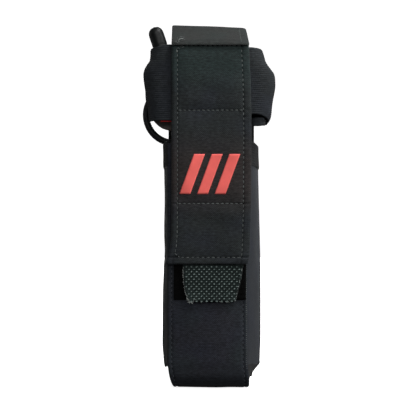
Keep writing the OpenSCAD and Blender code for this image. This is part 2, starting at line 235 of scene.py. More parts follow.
# Painted shade: near-black tint for the pocket's curved lower edge and base, which face down, away from the
# lamps.
UNDERSIDE_SHADE = (0.003, 0.004, 0.006)
M = {
    "flap": woven("flap_cordura", (0.018, 0.0215, 0.0225), 0.62, (BLUE,),
                  ((16, 26, GREEN), (92, 30, WARM))),
    "flap_over": woven("flap_strap_cordura", (0.026, 0.028, 0.027), 0.62, (GREEN,)),
    # The pocket's zone, 158 mm along it, darkens its curved lower edge and base as painted shade.
    "pocket": woven("pocket_cordura", (0.018, 0.019, 0.025), 0.6, (BLUE, GREEN), ((158, 20, UNDERSIDE_SHADE),)),
    # Painted light: this lighter, bluer cloth is the lit copy used for the right side wall; the left side
    # wall takes the darker back cloth below as its shaded copy.
    "gusset": woven("gusset_nylon_lit_right", (0.020, 0.023, 0.028), 0.5, (BLUE,), depth=0.2, mottle=0.15),
    "back": woven("back_cordura", (0.016, 0.017, 0.019), 0.7, (GREEN,)),
    "webbing": woven("belt_webbing", (0.018, 0.019, 0.020), 1.1, depth=0.6, warp=0.7),
    "elastic": woven("ribbed_elastic", (0.017, 0.020, 0.022), 0.5, (BLUE,), depth=0.3,
                     contrast=0.2, mottle=0.4),
    "tab": woven("open_weave_tape", (0.008, 0.014, 0.013), 0.8, depth=0.4),
    "tab_knot": woven("open_weave_knots", (0.165, 0.212, 0.200), 0.5, depth=0.2, rough=0.6, mottle=0.45),
    "binding": woven("binding_tape", (0.009, 0.009, 0.010), 0.9, depth=0.6),
    "band": woven("tourniquet_band", (0.013, 0.013, 0.014), 0.55, depth=0.4, sheen=0.1),
    "grey_tape": woven("grey_tape", (0.20, 0.20, 0.20), 0.45, depth=0.2, contrast=0.15, mottle=0.1),
    "red_tape": woven("red_tape", (0.42, 0.02, 0.02), 0.45, depth=0.2, contrast=0.15, mottle=0.1),
    "loop": pile("loop_pile", (0.003, 0.003, 0.003), 0.9, 0.9),
    "hook": pile("hook_pile", (0.008, 0.008, 0.008), 1.3, 0.8),
    "print": printed("printed_ink", (0.94, 0.155, 0.135)),
    # Partly painted highlight: dark grey thread, coloured a lighter grey than it is to stand in for the
    # glints on its glossy surface.
    "thread": moulded("sewing_thread", (0.075, 0.085, 0.082), 0.6, specular=0.2),
    # Painted shade: near-black and unreflective, for the shadow in the needle pits between stitches.
    "pit_shade": moulded("needle_pit_shade", (0.002, 0.002, 0.002), 0.9, specular=0.0),
    "dark_thread": moulded("dark_sewing_thread", (0.035, 0.038, 0.046), 0.6, specular=0.2),
    "pale_thread": moulded("frayed_thread", (0.26, 0.28, 0.27), 0.7, specular=0.2),
    "rod": moulded("rod_nylon", (0.006, 0.007, 0.007), 0.42, 0.1, specular=0.2),
    "clip": moulded("clip_nylon", (0.125, 0.104, 0.092), 0.28, 0.1, coat=0.4),
    "plate": moulded("plate_nylon", (0.018, 0.018, 0.019), 0.4),
    "handle": moulded("handle_plastic", (0.009, 0.010, 0.011), 0.5, 0.3, specular=0.3),
    "snap": moulded("snap_enamel", (0.02, 0.02, 0.021), 0.3, 0.05, coat=0.4),
    "steel": brushed("brushed_steel", (0.55, 0.56, 0.57)),
}

# ---------------------------------------------------------------- shapes


def stack(*parts):
    """Coordinates side by side, each spread over the same grid."""
    return np.stack(np.broadcast_arrays(*parts), axis=-1)


def add_object(name, data):
    obj = bpy.data.objects.new(name, data)
    bpy.context.collection.objects.link(obj)
    return obj


def piece(name, verts, faces, material, body, uvs=None):
    """A mesh from points in millimetres, with its UV map in millimetres too.
    body is a body's name, or a function that the new object is handed to instead."""
    mesh = bpy.data.meshes.new(name)
    mesh.from_pydata((np.asarray(verts) * MM).tolist(), [], faces)
    if uvs is not None:
        layer = mesh.uv_layers.new(name="weave")
        index = np.empty(len(mesh.loops), np.int32)
        mesh.loops.foreach_get("vertex_index", index)
        layer.data.foreach_set("uv", np.asarray(uvs, np.float32)[index].ravel())
    made = bmesh.new()
    made.from_mesh(mesh)
    bmesh.ops.recalc_face_normals(made, faces=made.faces)
    made.to_mesh(mesh)
    made.free()
    mesh.polygons.foreach_set("use_smooth", [True] * len(mesh.polygons))
    mesh.materials.append(M[material])
    obj = add_object(name, mesh)
    if callable(body):
        body(obj)
    else:
        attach(obj, body)
    return obj


def unit(v):
    return v / np.maximum(np.linalg.norm(v, axis=-1, keepdims=True), 1e-9)


def lines(low, high, step, fine=(), reach=1.5, fine_step=0.4):
    """Grid lines from low to high, closer together around the places in fine."""
    made = list(np.linspace(low, high, max(2, round((high - low) / step) + 1)))
    for place in fine:
        made += list(np.arange(place - reach, place + reach + 0.01, fine_step))
    made = sorted(x for x in made if low <= x <= high)
    kept = [made[0]]
    for x in made[1:]:
        if x - kept[-1] > 0.6 * fine_step:
            kept.append(x)
    kept[-1] = high
    return np.array(kept)


def waves(x, z, size, seed):
    """Smooth irregular waves about size millimetres long, from -1 to 1."""
    r = np.random.default_rng(seed)
    total = 0.0
    for _ in range(6):
        angle, phase, stretch = r.uniform(0, math.pi), r.uniform(0, 7), r.uniform(0.7, 1.7)
        along = x * math.cos(angle) + z * math.sin(angle)
        total = total + np.sin(along * 2 * math.pi / (size * stretch) + phase)
    return total / 4


def near(x, place, width):
    return np.exp(-(((x - place) / width) ** 2))


def smooth_step(x, low, high):
    t = np.clip((x - low) / (high - low), 0, 1)
    return t * t * (3 - 2 * t)


def curve(x, points):
    """A smooth curve through a few (place, value) points."""
    xs, ys = np.array(sorted(points), float).T
    fine = np.linspace(xs[0], xs[-1], 241)
    flat = np.pad(np.interp(fine, xs, ys), 12, mode="edge")
    kernel = np.hanning(15)
    rounded = np.convolve(flat, kernel / kernel.sum(), "same")[12:-12]
    return np.interp(x, fine, rounded)


def pucker(along, away, reach):
    """Small waves between the stitches of a seam that is away millimetres off."""
    return np.sin(along * 2 * math.pi / STITCH_PITCH) * near(away, 0, reach)


def grid_faces(ni, nj, start=0):
    """Faces of a grid of points and of the same grid behind it, whose points come next."""
    size, faces = ni * nj, []
    for i in range(ni - 1):
        for j in range(nj - 1):
            a, b = start + i * nj + j, start + (i + 1) * nj + j
            faces += [(a, b, b + 1, a + 1), (a + size, a + 1 + size, b + 1 + size, b + size)]
    return faces


def grid_rim(ni, nj):
    """Places round the edge of a grid, in turn."""
    ring = [(i, 0) for i in range(ni)] + [(ni - 1, j) for j in range(1, nj)]
    return ring + [(i, nj - 1) for i in range(ni - 2, -1, -1)] + [(0, j) for j in range(nj - 2, 0, -1)]


def shell(name, middle, thick, uv, material, body, edge=0.35):
    """A closed sheet of cloth around a grid of middle points, with rolled edges."""
    ni, nj, _ = middle.shape
    normal = unit(np.cross(np.gradient(middle, axis=0), np.gradient(middle, axis=1)))
    half = np.full((ni, nj, 1), thick / 2)
    half[[0, -1]] *= 0.7
    half[:, [0, -1]] *= 0.7
    front, back = middle + normal * half, middle - normal * half
    ring, rim = grid_rim(ni, nj), []
    for i, j in ring:
        inner = middle[min(max(i, 1), ni - 2), min(max(j, 1), nj - 2)]
        rim.append(middle[i, j] + unit(middle[i, j] - inner) * thick * edge)
    verts = np.concatenate([front.reshape(-1, 3), back.reshape(-1, 3), np.array(rim)])
    flat_uv = uv.reshape(-1, 2)
    uvs = np.concatenate([flat_uv, flat_uv, np.array([uv[i, j] for i, j in ring])])
    size, start = ni * nj, 2 * ni * nj
    faces = grid_faces(ni, nj)
    for k, (i, j) in enumerate(ring):
        m = (k + 1) % len(ring)
        i2, j2 = ring[m]
        a, b = i * nj + j, i2 * nj + j2
        faces += [(a, start + k, start + m, b), (start + k, a + size, b + size, start + m)]
    return piece(name, verts, faces, material, body, uvs)


def fillet_path(corners, radii, step=1.0):
    """A polyline in a plane with rounded corners, as evenly followed points."""
    made = [np.array(corners[0], float)]
    for before, corner, after, radius in zip(corners, corners[1:], corners[2:], radii):
        before, corner, after = (np.array(p, float) for p in (before, corner, after))
        u, v = unit(before - corner), unit(after - corner)
        half = math.acos(float(np.clip(u @ v, -1, 1))) / 2
        middle = corner + unit(u + v) * radius / math.sin(half)
        start, end = corner + u * radius / math.tan(half), corner + v * radius / math.tan(half)
        turn = math.pi - 2 * half
        for t in np.linspace(0, 1, max(3, round(turn * radius / 0.5) + 1)):
            bent = unit((start - middle) * math.sin((1 - t) * turn) + (end - middle) * math.sin(t * turn))
            made.append(middle + bent * radius)
    made.append(np.array(corners[-1], float))
    made = np.array(made)
    along = np.concatenate([[0], np.cumsum(np.linalg.norm(np.diff(made, axis=0), axis=1))])
    at = np.unique(np.concatenate([along, np.arange(0, along[-1], step)]))
    at = at[np.concatenate([[True], np.diff(at) > 0.15])]
    return at, np.stack([np.interp(at, along, made[:, k]) for k in (0, 1)], axis=1)


def straight_path(y, top, bottom, step):
    return fillet_path([(y, top), (y, bottom)], [], step)


class Strip:
    """A strap whose side view follows a path in Y and Z.
    A place on it is x, across, and s, along the path."""

    def __init__(self, along, path, half, left, right, relief, outward=1.0):
        self.along, self.path, self.half = along, path, half
        self.left, self.right, self.relief = left, right, relief
        tangent = unit(np.gradient(path, along, axis=0))
        self.normal = np.stack([tangent[:, 1], -tangent[:, 0]], axis=1) * outward

    def follow(self, values, s):
        return np.interp(s, self.along, values)

    def at(self, x, s):
        """Middle points and normals."""
        x, s = np.broadcast_arrays(np.asarray(x, float), np.asarray(s, float))
        share = (x + self.half) / (2 * self.half)
        across = self.left(s) * (1 - share) + self.right(s) * share
        lift = self.relief(x, s)
        ny, nz = self.follow(self.normal[:, 0], s), self.follow(self.normal[:, 1], s)
        y, z = self.follow(self.path[:, 0], s), self.follow(self.path[:, 1], s)
        normal = stack(0.0, ny, nz)
        return stack(across, y, z) + normal * lift[..., None], normal

    def make(self, name, xs, ss, thick, material, body):
        x, s = np.meshgrid(xs, ss, indexing="ij")
        middle, _ = self.at(x, s)
        return shell(name, middle, thick, stack(x, s), material, body)


def circle(centre, side, up, radius, sides, ribs=0.0, turn=0.0):
    """Points round a centre, with six low ridges where ribs isn't 0."""
    made = []
    for m in range(sides):
        a = 2 * math.pi * m / sides
        r = radius * (1 + ribs * math.cos(6 * a + turn))
        made.append(centre + side * math.cos(a) * r + up * math.sin(a) * r)
    return made


def tube_faces(start, rings, sides):
    """Faces of a closed tube whose rings of points begin at number start."""
    faces = []
    for k in range(rings - 1):
        for m in range(sides):
            a, b = start + k * sides + m, start + k * sides + (m + 1) % sides
            faces.append((a, b, b + sides, a + sides))
    faces.append(tuple(range(start, start + sides)))
    faces.append(tuple(range(start + (rings - 1) * sides, start + rings * sides))[::-1])
    return faces


def capsules(name, places, radius, material, body, sides=6, rings=5):
    """Thread ends to see: each place is (middle, along, normal, length) and becomes a bent capsule."""
    verts, faces = [], []
    for middle, along, normal, length in places:
        side = np.cross(along, normal)
        faces += tube_faces(len(verts), rings, sides)
        for k in range(rings):
            t = -1 + 2 * k / (rings - 1)
            centre = middle + along * t * length / 2 - normal * radius * 0.9 * t * t
            verts += circle(centre, side, normal, radius * (1 - 0.75 * abs(t) ** 3), sides)
    return piece(name, verts, faces, material, body)


def stitch_places(at, ends, out, pitch=STITCH_PITCH, length=2.3, wobble=0.12):
    """Stitches along straight lines between pairs of places on a surface, lifted by out."""
    made = []
    for (x0, s0), (x1, s1) in ends:
        count = max(2, round(math.hypot(x1 - x0, s1 - s0) / pitch))
        for k in range(count):
            t = (k + 0.5) / count
            x, s = x0 + (x1 - x0) * t, s0 + (s1 - s0) * t
            middle, normal = at(x, s)
            ahead, _ = at(x + (x1 - x0) * 0.01, s + (s1 - s0) * 0.01)
            along = unit(ahead - middle)
            turn = random.uniform(-wobble, wobble)
            along = unit(along + np.cross(along, normal) * turn)
            made.append((middle + normal * out, along, normal, length * random.uniform(0.85, 1.1)))
    return made


def sew(name, places, body, thread="thread", radius=0.27):
    """A row of stitches, with near-black capsules between them as painted shade in the needle pits."""
    capsules(name, places, radius, thread, body)
    # Painted shade: near-black capsules sunk just under the cloth between stitches stand in for the shadow in
    # the needle pits.
    pit_shades = [(m + a * STITCH_PITCH / 2 - n * radius * 1.1, np.cross(a, n), n, 0.9) for m, a, n, _ in places]
    capsules(f"{name}_holes", pit_shades, 0.38, "pit_shade", body)


def bar_rings(points, radii, sides, across=None, twist=0.0, ribs=0.0):
    """Rings of points round a bent bar. across is a direction that the bar never follows."""
    points = np.asarray(points, float)
    tangent = unit(np.gradient(points, axis=0))
    if across is None:
        across = [0.31, 0.17, 0.93] if abs(tangent[0][2]) < 0.9 else [1.0, 0.0, 0.0]
    side = unit(np.cross(tangent, across))
    up = np.cross(side, tangent)
    rings = [circle(centre, side[k], up[k], radii[k], sides, ribs, twist * k)
             for k, centre in enumerate(points)]
    return [point for ring in rings for point in ring]


def tube(name, points, radii, material, body, sides=10, twist=0.0, ribs=0.0):
    """A round bar through points, closed at both ends."""
    verts = bar_rings(points, radii, sides, None, twist, ribs)
    uvs = [(m * 2 * math.pi * r / sides, k) for k, r in enumerate(radii) for m in range(sides)]
    return piece(name, verts, tube_faces(0, len(radii), sides), material, body, uvs)


def make_threads(name, runs, material, body, sides=5):
    """Many short threads as one piece: each run is its points and its radius, thinner at the end."""
    verts, faces = [], []
    for points, radius in runs:
        faces += tube_faces(len(verts), len(points), sides)
        radii = radius * (1 - 0.35 * np.linspace(0, 1, len(points)))
        verts += bar_rings(points, radii, sides, [0.2, 1.0, 0.1])
    return piece(name, verts, faces, material, body)


def lean(points):
    """From the tourniquet's own leaning frame about the rod's pivot to the row frame."""
    points = np.asarray(points, float)
    c, s = math.cos(ROD_LEAN), math.sin(ROD_LEAN)
    x, y, z = points[..., 0], points[..., 1], points[..., 2]
    return stack(ROD_PIVOT[0] + x * c - z * s, y, ROD_PIVOT[2] + x * s + z * c)


# ---------------------------------------------------------------- flap

HALF = 25.4
FLAP_T = 1.3
SLOPE = unit(np.array([REAR_FOLD[1] - FRONT_FOLD[1], REAR_FOLD[2] - FRONT_FOLD[2]]))
RISE = np.array([-SLOPE[1], SLOPE[0]])
FOLD = FRONT_FOLD[1:]

# The upper strap: up the back, over the rear fold and down to the seam at the front fold.
over_fold = FOLD - SLOPE * 1.1 + RISE * 0.75
over_along, over_path = fillet_path(
    [(1.0, 78.5), (1.0, 126.4), over_fold, (over_fold[0] - 0.2, 104.9)], [1.6, 0.5], 1.2)
OVER_LEN = over_along[-1]
OVER_FOLD = 47.0


def over_relief(x, s):
    face = smooth_step(s, OVER_FOLD, OVER_FOLD + 8) * smooth_step(OVER_LEN - s, 0, 6)
    crown = 1.3 * face * (1 - (x / HALF) ** 2)
    skew = -0.035 * x * near(s, OVER_FOLD + 1, 14)
    return crown + skew + 0.3 * waves(x, s, 38, 3) * face


def over_left(s):
    return curve(s, [(0, -HALF), (40, -26.4), (OVER_FOLD + 2, -26.7), (OVER_LEN, -25.3)])


def over_right(s):
    corner = 1.6 * near(s, OVER_FOLD, 2.2)
    return curve(s, [(0, HALF), (40, 24.0), (OVER_FOLD + 2, 23.6), (OVER_LEN, 23.9)]) - corner


def blend_over(obj):
    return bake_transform(obj)


def make_flap_over():
    strip = Strip(over_along, over_path, HALF, over_left, over_right, over_relief)
    over = strip.make("flap_over", lines(-HALF, HALF, 1.4), lines(0, OVER_LEN, 1.2), 1.3,
                      "flap_over", blend_over)
    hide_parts("back_strap", "flap_top")
    side, low, high = 21.5, 3, 20
    runs = [((-side, low), (side, low)), ((-side, high), (side, high)), ((-side, low), (-side, high)),
            ((side, low), (side, high)), ((20.6, OVER_FOLD + 10), (20.6, OVER_LEN - 2))]
    sew("flap_over_stitches", stitch_places(strip.at, runs, 0.72), blend_over)


# The face: from under the seam, round the front fold and down to the stitched lower edge.
face_start = FOLD + SLOPE * 9.0 - RISE * 1.0
face_along, face_path = fillet_path(
    [face_start, FOLD - RISE * 0.6 - SLOPE * 0.3, (FRONT_FOLD[1] - 0.1, FLAP_LOW[2] + 0.4)], [1.5], 1.5)
FACE_LEN = face_along[-1]
SEAM_Z = 104.0
SEAM_S = FACE_LEN - (SEAM_Z - FLAP_LOW[2])
FACE_ROWS = [63.0, 2.9, -31.8]


def face_s(z):
    """How far along the face a height on its flat front is."""
    return FACE_LEN - (z - FLAP_LOW[2] - 0.4)


def face_z(s):
    return FLAP_LOW[2] + 0.4 + FACE_LEN - s


STITCH_X = (-21.9, 20.8)


def face_relief(x, s):
    z = face_z(s)
    flat = smooth_step(s, SEAM_S, SEAM_S + 5)
    side = np.minimum(np.abs(x - STITCH_X[0]), np.abs(x - STITCH_X[1]))
    rows = np.min([np.abs(z - row) for row in FACE_ROWS] + [np.abs(s - SEAM_S)], axis=0)
    groove = -0.3 * np.maximum(near(side, 0, 0.7), near(rows, 0, 0.7))
    drawn = 0.13 * pucker(z, side, 2.6) + 0.13 * pucker(x, rows, 2.4)
    pillow = 0.5 * smooth_step(side, 0, 7) * smooth_step(rows, 0, 7) * (np.abs(x) < 22)
    roll = -0.15 * smooth_step(np.abs(x), HALF - 1.0, HALF)
    sag = 0.45 * waves(x, z, 46, 5) + 0.18 * waves(x, z, 17, 8)
    return flat * (pillow + sag) + groove + drawn + roll


def face_left(s):
    return curve(face_z(s), [(-36.3, -29.2), (-32, -28.2), (-27, -26.4), (-18, -25.6), (5, -25.4),
                             (110, -25.3)])


def face_right(s):
    return curve(face_z(s), [(-36.3, 23.0), (-30, 24.2), (0, 25.1), (50, 25.4), (83, 24.8),
                             (104, 23.7), (118, 23.5)])


def blend_face(obj):
    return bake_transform(obj)


def make_flap_face():
    strip = Strip(face_along, face_path, HALF, face_left, face_right, face_relief)
    xs = lines(-HALF, HALF, 1.4, STITCH_X, 1.6)
    ss = lines(0, FACE_LEN, 1.0, [face_s(z) for z in FACE_ROWS] + [SEAM_S], 1.4)
    face = strip.make("flap_face", xs, ss, FLAP_T, "flap", blend_face)
    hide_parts("flap_front", "flap_top")
    left, right = STITCH_X
    low, chamfer = face_s(FACE_ROWS[-1]), face_s(-29.2)
    runs = [((left, SEAM_S + 1.5), (left, chamfer)), ((left, chamfer), (left + 4, low)),
            ((left + 4, low), (right, low)), ((right, SEAM_S + 1.5), (right, low)),
            ((left + 1, SEAM_S), (right, SEAM_S))]
    runs += [((left, face_s(z)), (right, face_s(z))) for z in FACE_ROWS[:-1]]
    sew("flap_face_stitches", stitch_places(strip.at, runs, FLAP_T / 2 + 0.1), blend_face)
    return strip


def make_mark(strip):
    """Plain slanting bars, thin ink that follows the cloth."""
    low, high = node_box("printed_mark")
    height, bars, bar_w, slant = high[2] - low[2], 3, 7.0, 9.4
    pitch = (high[0] - low[0] - slant - bar_w) / (bars - 1)
    verts, faces, uvs = [], [], []
    nu, nv = 9, 26
    for bar in range(bars):
        start = len(verts)
        grid = []
        for i in range(nu):
            for j in range(nv):
                v = j / (nv - 1)
                x = low[0] + bar * pitch + bar_w * i / (nu - 1) + slant * v
                grid.append((x, face_s(low[2] + height * v)))
        x, s = np.array(grid).T
        middle, normal = strip.at(x, s)
        for lift in (FLAP_T / 2 + 0.14, FLAP_T / 2 - 0.1):
            verts += list(middle + normal * lift)
            uvs += grid
        faces += grid_faces(nu, nv, start)
        size, ring = nu * nv, [start + i * nv + j for i, j in grid_rim(nu, nv)]
        for a, b in zip(ring, ring[1:] + ring[:1]):
            faces.append((a, a + size, b + size, b))
    mark = piece("flap_mark", verts, faces, "print", "flap_front", uvs)
    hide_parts("printed_mark")


def make_thread_tuft(strip):
    """Loose knotted threads where the seam starts, at the upper left."""
    for k in range(9):
        x, s = -21.8 + random.uniform(-1.6, 2.2), SEAM_S + random.uniform(-2.4, 2.6)
        middle, normal = strip.at(x, s)
        middle = middle + normal * (1.5 if s < SEAM_S + 0.6 else 0.0)
        heading, reach = random.uniform(0, 2 * math.pi), random.uniform(2.0, 4.2)
        bend = random.uniform(-2.0, 2.0)
        points = []
        for t in np.linspace(0, 1, 9):
            a = heading + bend * t
            step = np.array([math.cos(a), 0, math.sin(a)]) * reach * t
            arch = 0.9 * math.sin(math.pi * t) * (k % 3) / 2
            points.append(middle + step + normal * (FLAP_T / 2 + 0.2 + arch))
        kind = "pale_thread" if k % 3 == 0 else "thread"
        tube(f"seam_thread_{k}", points, [0.2] * 9, kind, blend_face, sides=6)


make_flap_over()
face_strip = make_flap_face()
make_mark(face_strip)
make_thread_tuft(face_strip)

# ---------------------------------------------------------------- hook patch and pull tab

PATCH_T = 0.9


def flat_patch(name, node, material, body, rough_size, depth, seed, step=1.2, short=0.0):
    """A sewn patch with an uneven pile, filling its CAD plate but for short millimetres on the right."""
    low, high = node_box(node)
    high[0] -= short
    x, z = np.meshgrid(lines(low[0], high[0], step), lines(low[2], high[2], step), indexing="ij")
    y = middle_y(node) + depth * waves(x, z, rough_size, seed) * 0.5
    uv = stack(x, z)
    patch = shell(name, stack(x, y, z), PATCH_T, uv, material, body)
    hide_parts(node)


flat_patch("hook_fastener", "hook_patch", "hook", "flap_front", 5, 0.2, 21)

TAB_LEN, TAB_T = node_box("pull_tab")[1][2] - node_box("pull_tab")[0][2], 1.3
BEAD_X, BEAD_Z = 3.25, 1.58


def tab_edges(z):
    """Left and right side of the tab at a height below its hinge: frayed and curling in at the lower left."""
    down = -z
    left = curve(down, [(-4, -17.6), (0, -18.2), (10, -17.9), (17, -16.8), (20, -15.6), (24, -14.2)])
    right = curve(down, [(-4, 20.8), (0, 20.2), (8, 18.9), (16, 16.9), (24, 15.0)])
    return left, right


def tab_at(x, z):
    """x from -1 to 1 across, z below the hinge."""
    left, right = tab_edges(z)
    across = left + (right - left) * (x + 1) / 2
    beads = np.cos(2 * math.pi * across / BEAD_X) * np.cos(math.pi * z / BEAD_Z)
    curl = 0.9 * smooth_step(-z, 12, 24) * near(x, -1, 0.5) + 0.5 * smooth_step(-z, 16, 24)
    depth = TAB_HINGE[1] - 0.26 * beads - curl - 0.25 * waves(across, z, 21, 31)
    forward = stack(0 * x, -1.0, 0.0)
    return stack(across, depth, TAB_HINGE[2] + z), forward


def make_pull_tab():
    x, z = np.meshgrid(np.linspace(-1, 1, 121), np.linspace(-TAB_LEN + 1.2, 0.6, 78), indexing="ij")
    middle, _ = tab_at(x, z)
    uv = stack(x * 19, z)
    tab = shell("pull_tab_webbing", middle, TAB_T, uv, "tab", "pull_tab")
    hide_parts("pull_tab")
    places = []
    for row in range(15):
        for column in range(-6, 7):
            z = -0.6 - row * BEAD_Z
            across = (column + (row % 2) / 2) * BEAD_X
            left, right = tab_edges(np.array(z))
            if left + 1.0 < across < right - 1.0:
                share = 2 * (across - left) / (right - left) - 1
                middle, normal = tab_at(share, np.array(z))
                lift = middle + normal * (TAB_T / 2 - 0.06)
                places.append((lift, np.array([1.0, 0, 0.1]), normal, 1.5 * random.uniform(0.85, 1.15)))
    capsules("pull_tab_knots", places, 0.42, "tab_knot", "pull_tab", sides=8)


def tab_fray():
    """Cut thread ends along the left side and the lower edge."""
    ends, runs = [], []
    for k in range(28):
        z = -1.0 - 22.0 * k / 27
        ends.append((-1.0, z, math.pi + random.uniform(-1.2, 1.0), random.uniform(0.3, 0.9)))
    for k in range(14):
        ends.append((-0.99 + 0.028 * random.random() * k, -TAB_LEN + 2.4 * random.random() + 0.8,
                     -math.pi / 2 + random.uniform(-1.5, 1.2), random.uniform(0.9, 2.6)))
    for k in range(10):
        ends.append((random.uniform(-0.5, 0.95), -TAB_LEN + 1.0, -math.pi / 2 + random.uniform(-0.9, 0.9),
                     random.uniform(0.4, 1.2)))
    for k, (x, z, heading, reach) in enumerate(ends):
        middle, normal = tab_at(np.array(x), np.array(z))
        bend = random.uniform(-0.9, 0.9)
        points = []
        for t in np.linspace(0, 1, 6):
            a = heading + bend * t
            points.append(middle + np.array([math.cos(a), 0, math.sin(a)]) * reach * t
                          + normal * (0.45 + 0.35 * random.random() * t))
        runs.append((points, 0.12 if k % 3 else 0.17))
    return runs


def make_fused_edge():
    """Melted thread ends down the tab's right side."""
    places = []
    for k in range(15):
        middle, normal = tab_at(np.array(0.985), np.array(-1.5 - k * 1.5))
        along = unit(np.array([-0.22, 0, -0.97]))
        places.append((middle + normal * TAB_T * 0.4, along, normal, 1.5))
    capsules("pull_tab_fused_edge", places, 0.15, "pale_thread", "pull_tab")


make_pull_tab()
make_threads("pull_tab_fray", tab_fray(), "pale_thread", "pull_tab")
make_fused_edge()

# ---------------------------------------------------------------- pocket

POCKET_LEFT, POCKET_RIGHT = -28.0, 22.7
POCKET_Y = PANEL_LOW[1] + 0.75
POCKET_T = 1.5
BASE_ROUND = 9.2
POCKET_BASE = BASE_Z + POCKET_T / 2 + 0.1
pocket_along, pocket_path = fillet_path(
    [(POCKET_Y, MOUTH_Z), (POCKET_Y, POCKET_BASE), (-1.6, POCKET_BASE)], [BASE_ROUND], 1.5)
POCKET_LEN = pocket_along[-1]
POCKET_STITCH = (-23.2, 23.0)


def pocket_left(s):
    z = MOUTH_Z - s
    return curve(z, [(-170, -24.3), (-128, -24.3), (-116, -25.0), (-113.5, -26.0), (-109, -26.9),
                     (-103, -28.0), (50, -28.0)])


def pocket_right(s):
    z = MOUTH_Z - s
    return curve(z, [(-170, 24.2), (-128, 24.2), (-117, 24.2), (-108, 24.0), (-102, 22.9), (50, 22.7)])


def pocket_relief(x, s):
    z = MOUTH_Z - s
    side = np.minimum(np.abs(x - POCKET_STITCH[0]), np.abs(x - POCKET_STITCH[1]))
    free = smooth_step(s, 99, 114)
    belly = 1.1 * (1 - (x / HALF) ** 2) * free * smooth_step(POCKET_LEN - s, 30, 55)
    groove = -0.4 * near(side, 0, 0.9)
    drawn = 0.16 * pucker(z, side, 2.6)
    crease = -0.15 * near(z, -104.5, 2.0) * smooth_step(22 - np.abs(x), 0, 8)
    sag = (0.4 * waves(x, z, 40, 13) + 0.14 * waves(x, z, 13, 14)) * (0.15 + 0.85 * free)
    return belly + groove + drawn + crease + sag


def make_pocket():
    strip = Strip(pocket_along, pocket_path, HALF, pocket_left, pocket_right, pocket_relief)
    xs = lines(-HALF, HALF, 1.5, POCKET_STITCH, 1.6)
    ss = lines(0, POCKET_LEN, 1.1)
    panel = strip.make("pocket_front", xs, ss, POCKET_T, "pocket", "pouch")
    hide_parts("front_panel", "base_wrap")
    places = stitch_places(strip.at, [((x, 4), (x, 158)) for x in POCKET_STITCH], POCKET_T / 2 + 0.08)
    sew("pocket_stitches", places, "pouch", "dark_thread")
    edge = [((HALF - 0.3, 70), (HALF - 0.3, 146))]
    beads = stitch_places(strip.at, edge, POCKET_T / 2 - 0.1, 1.25, 0.85, 0.3)
    capsules("pocket_edge_beads", beads, 0.2, "thread", "pouch")


make_pocket()
flat_patch("loop_fastener", "loop_patch", "loop", "pouch", 4, 0.5, 22, 0.8, 2.0)

GUSSET_T, GUSSET_LOW, GUSSET_LEN, GUSSET_WIDE = 1.2, -103.0, 146.0, 40.0
HEM_START, HEM_END, HEM_DROP = 0.45, 0.55, 33.0
SIDES = {"left": (-1, POCKET_LEFT), "right": (1, POCKET_RIGHT)}
REAR_LEFT = [(-117, -32.0), (-106, -32.4), (-95, -33.4), (-60, -33.0), (-36, -32.2), (-29, -31.0),
             (0, -31.5), (42, -32.2)]
REAR_RIGHT = [(-117, 32.6), (-106, 33.2), (-90, 33.8), (-40, 33.8), (0, 32.8), (42, 31.8)]


def gusset_at(side, a, v):
    """a from the front edge to the back panel, v from the lower end to the mouth."""
    sign, front_x = SIDES[side]
    low = GUSSET_LOW - 5.2 * smooth_step(a, 0.1, 0.8)
    high = MOUTH_Z + 0.6 + 0.6 * np.sin(a * 5.0)
    z = low + (high - low) * v
    rear_x = curve(z, REAR_LEFT if sign < 0 else REAR_RIGHT)
    bulge = 0.9 * np.sin(math.pi * a) * smooth_step(v, 0, 0.3)
    bulge = bulge + 0.4 * waves(a * GUSSET_WIDE, z, 44, 41 + sign) * np.sin(math.pi * a)
    x = front_x + (rear_x - front_x) * a ** 0.9 + sign * bulge
    y = POCKET_Y + 0.4 + (-1.3 - POCKET_Y - 0.4) * a
    return stack(x, y, z)


def pocket_wall(z):
    """Y of the pocket's front wall at a height, where it curves under at the base."""
    drop = np.clip(POCKET_BASE + BASE_ROUND - z, 0, BASE_ROUND)
    return POCKET_Y + BASE_ROUND - np.sqrt(BASE_ROUND**2 - drop**2)


def corner_at(side, a, v):
    """The closure below a gusset, from the pocket's edge to the back panel.
    v runs from the gusset's lower end down to the base."""
    sign = SIDES[side][0]
    top = gusset_at(side, a, 0 * v + 0.012)
    z = top[..., 2] + (BASE_Z + 1.3 - top[..., 2]) * v
    edge = np.abs((pocket_left if sign < 0 else pocket_right)(MOUTH_Z - z)) - 0.5
    begun = smooth_step(0.0, -0.25, 1.0)
    close = (smooth_step(v, -0.25, 1.0) - begun) / (1 - begun)
    out = (np.abs(top[..., 0]) - np.abs(SIDES[side][1])) * (1 - close) + (26.0 - edge) * a * close
    front = pocket_wall(z) + 0.4
    return stack(sign * (edge + out), front + (-1.3 - front) * a, z)


def hem_at(side, a, v):
    """Tape folded over a gusset's top edge: v from its outer lower edge, over the fold, to its inner one."""
    sign = SIDES[side][0]
    around = np.clip((v - HEM_START) / (HEM_END - HEM_START), 0, 1) * math.pi
    inside = np.where(v > HEM_END, (v - HEM_END) * 26, 0.0)
    drop = np.where(v < HEM_START, (HEM_START - v) * HEM_DROP, inside)
    edge = gusset_at(side, a, 0 * a + 1.0)
    ribs = 0.14 * np.sin(a * 42 * math.pi) + 0.3 * waves(a * GUSSET_WIDE, v * 20, 6, 51)
    wall = gusset_at(side, a, 1.0 - drop / GUSSET_LEN)
    offset = np.cos(around) * (0.9 + ribs * 0.5) - 0.3
    x = wall[..., 0] + sign * offset
    z = edge[..., 2] + 0.3 - drop + np.sin(around) * 0.9
    return stack(x, wall[..., 1], z)


